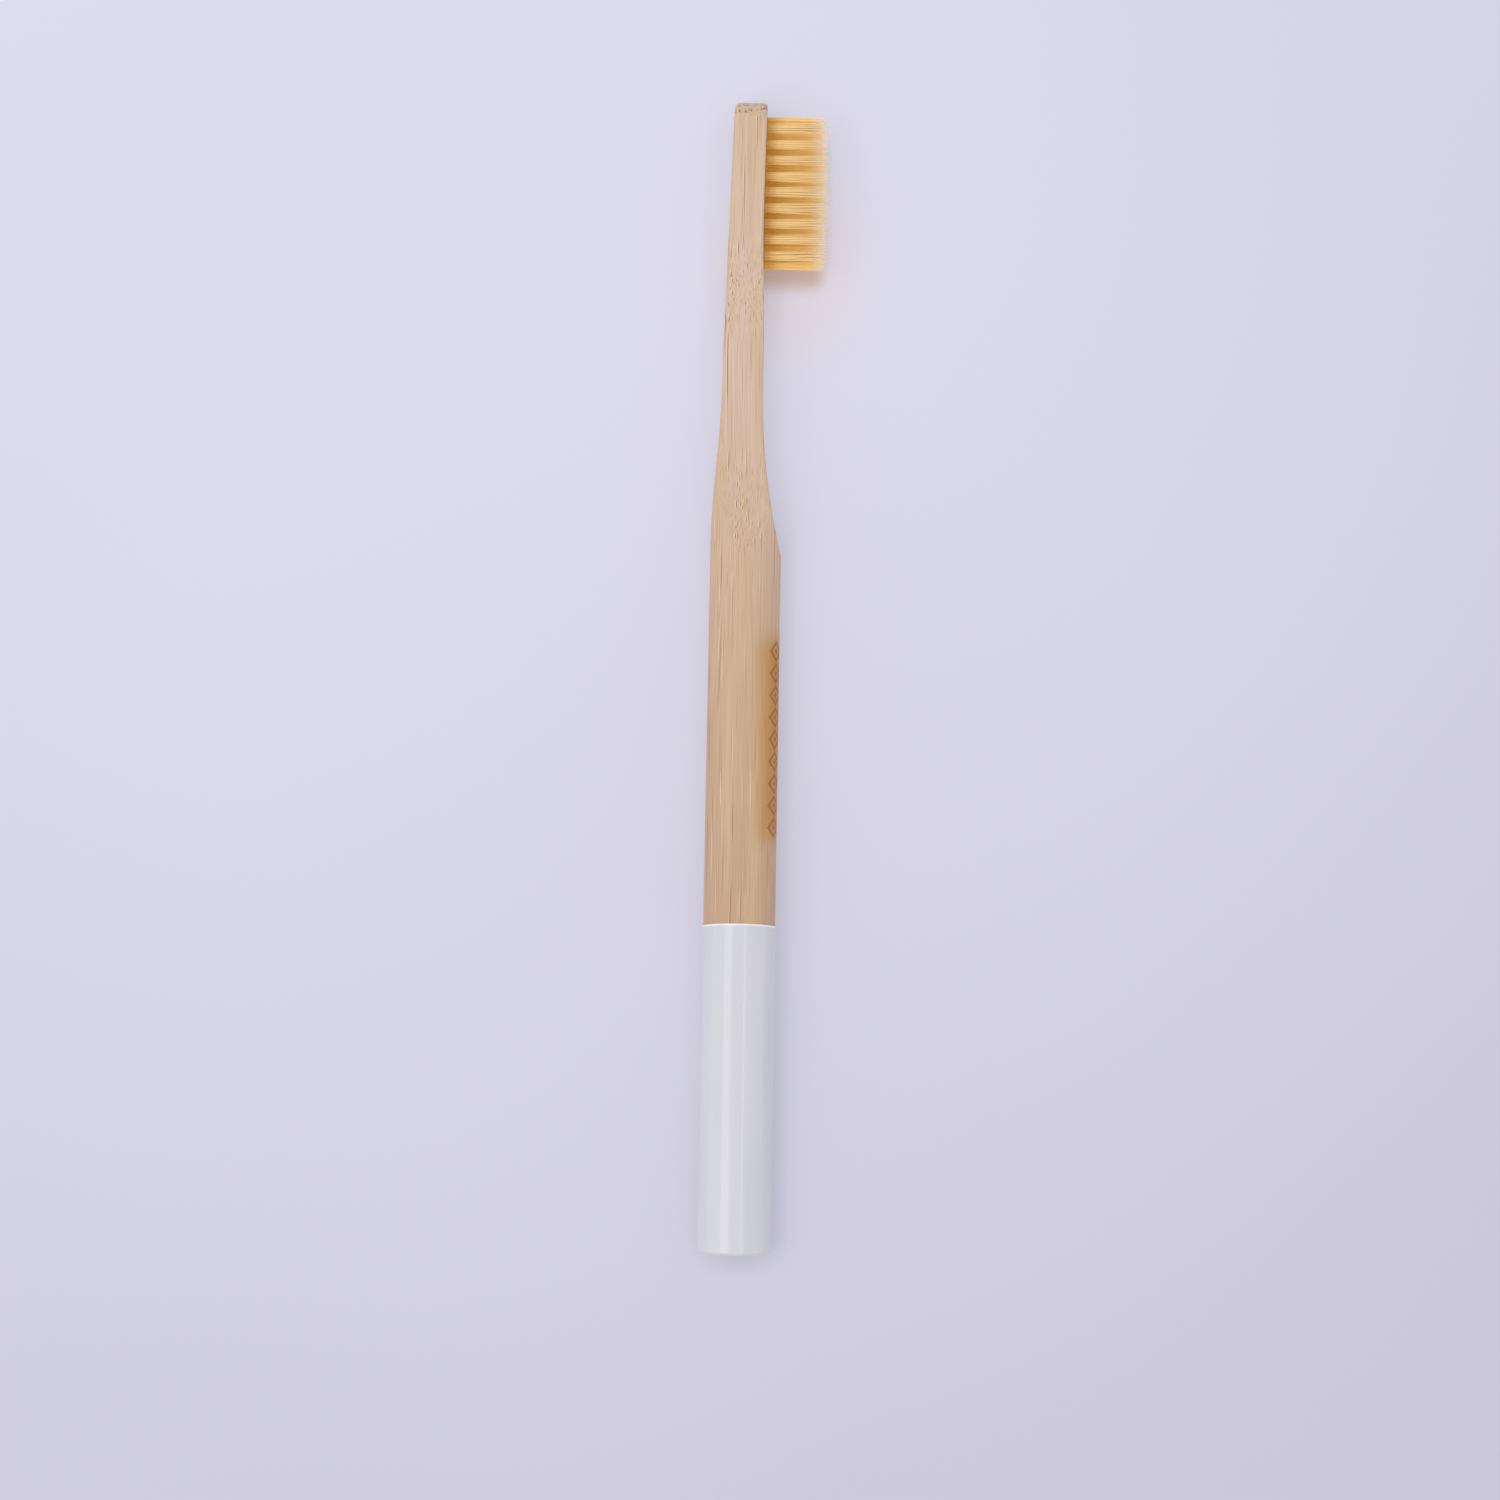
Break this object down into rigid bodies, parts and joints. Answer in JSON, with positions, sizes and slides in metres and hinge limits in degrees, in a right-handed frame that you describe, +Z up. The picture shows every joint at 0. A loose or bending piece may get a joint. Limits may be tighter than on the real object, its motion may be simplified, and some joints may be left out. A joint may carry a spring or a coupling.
{
  "type": "manual toothbrush",
  "caption": "Manual toothbrush with a round bamboo grip, a milled neck and flat head, a white lacquer-dipped butt end and staggered rows of golden bristle tufts.",
  "frame": {"origin": "on the floor under the middle of the brush's box, with the brush lying on its side", "axes": "+Y along the handle toward the head, +X the way the bristles point, +Z up from the side it lies on"},
  "size_m": [0.0192, 0.19, 0.0122],
  "materials": {
    "bamboo": "sanded bare bamboo with fine fibres along the handle",
    "white_lacquer": "smooth glossy dipped lacquer",
    "bristle": "golden translucent nylon filaments with rounded ends",
    "anchor_brass": "bare rolled strip"
  },
  "bodies": {
    "root": {"bamboo_handle": "bamboo", "white_dip_coat": "white_lacquer", "tuft_anchors": "anchor_brass", "tuft_left_1": "bristle", "tuft_left_2": "bristle", "tuft_left_3": "bristle", "tuft_left_4": "bristle", "tuft_left_5": "bristle", "tuft_left_6": "bristle", "tuft_left_7": "bristle", "tuft_left_8": "bristle", "tuft_left_9": "bristle", "tuft_middle_1": "bristle", "tuft_middle_2": "bristle", "tuft_middle_3": "bristle", "tuft_middle_4": "bristle", "tuft_middle_5": "bristle", "tuft_middle_6": "bristle", "tuft_middle_7": "bristle", "tuft_middle_8": "bristle", "tuft_middle_9": "bristle", "tuft_middle_10": "bristle", "tuft_right_1": "bristle", "tuft_right_2": "bristle", "tuft_right_3": "bristle", "tuft_right_4": "bristle", "tuft_right_5": "bristle", "tuft_right_6": "bristle", "tuft_right_7": "bristle", "tuft_right_8": "bristle", "tuft_right_9": "bristle"}
  },
  "joints": []
}
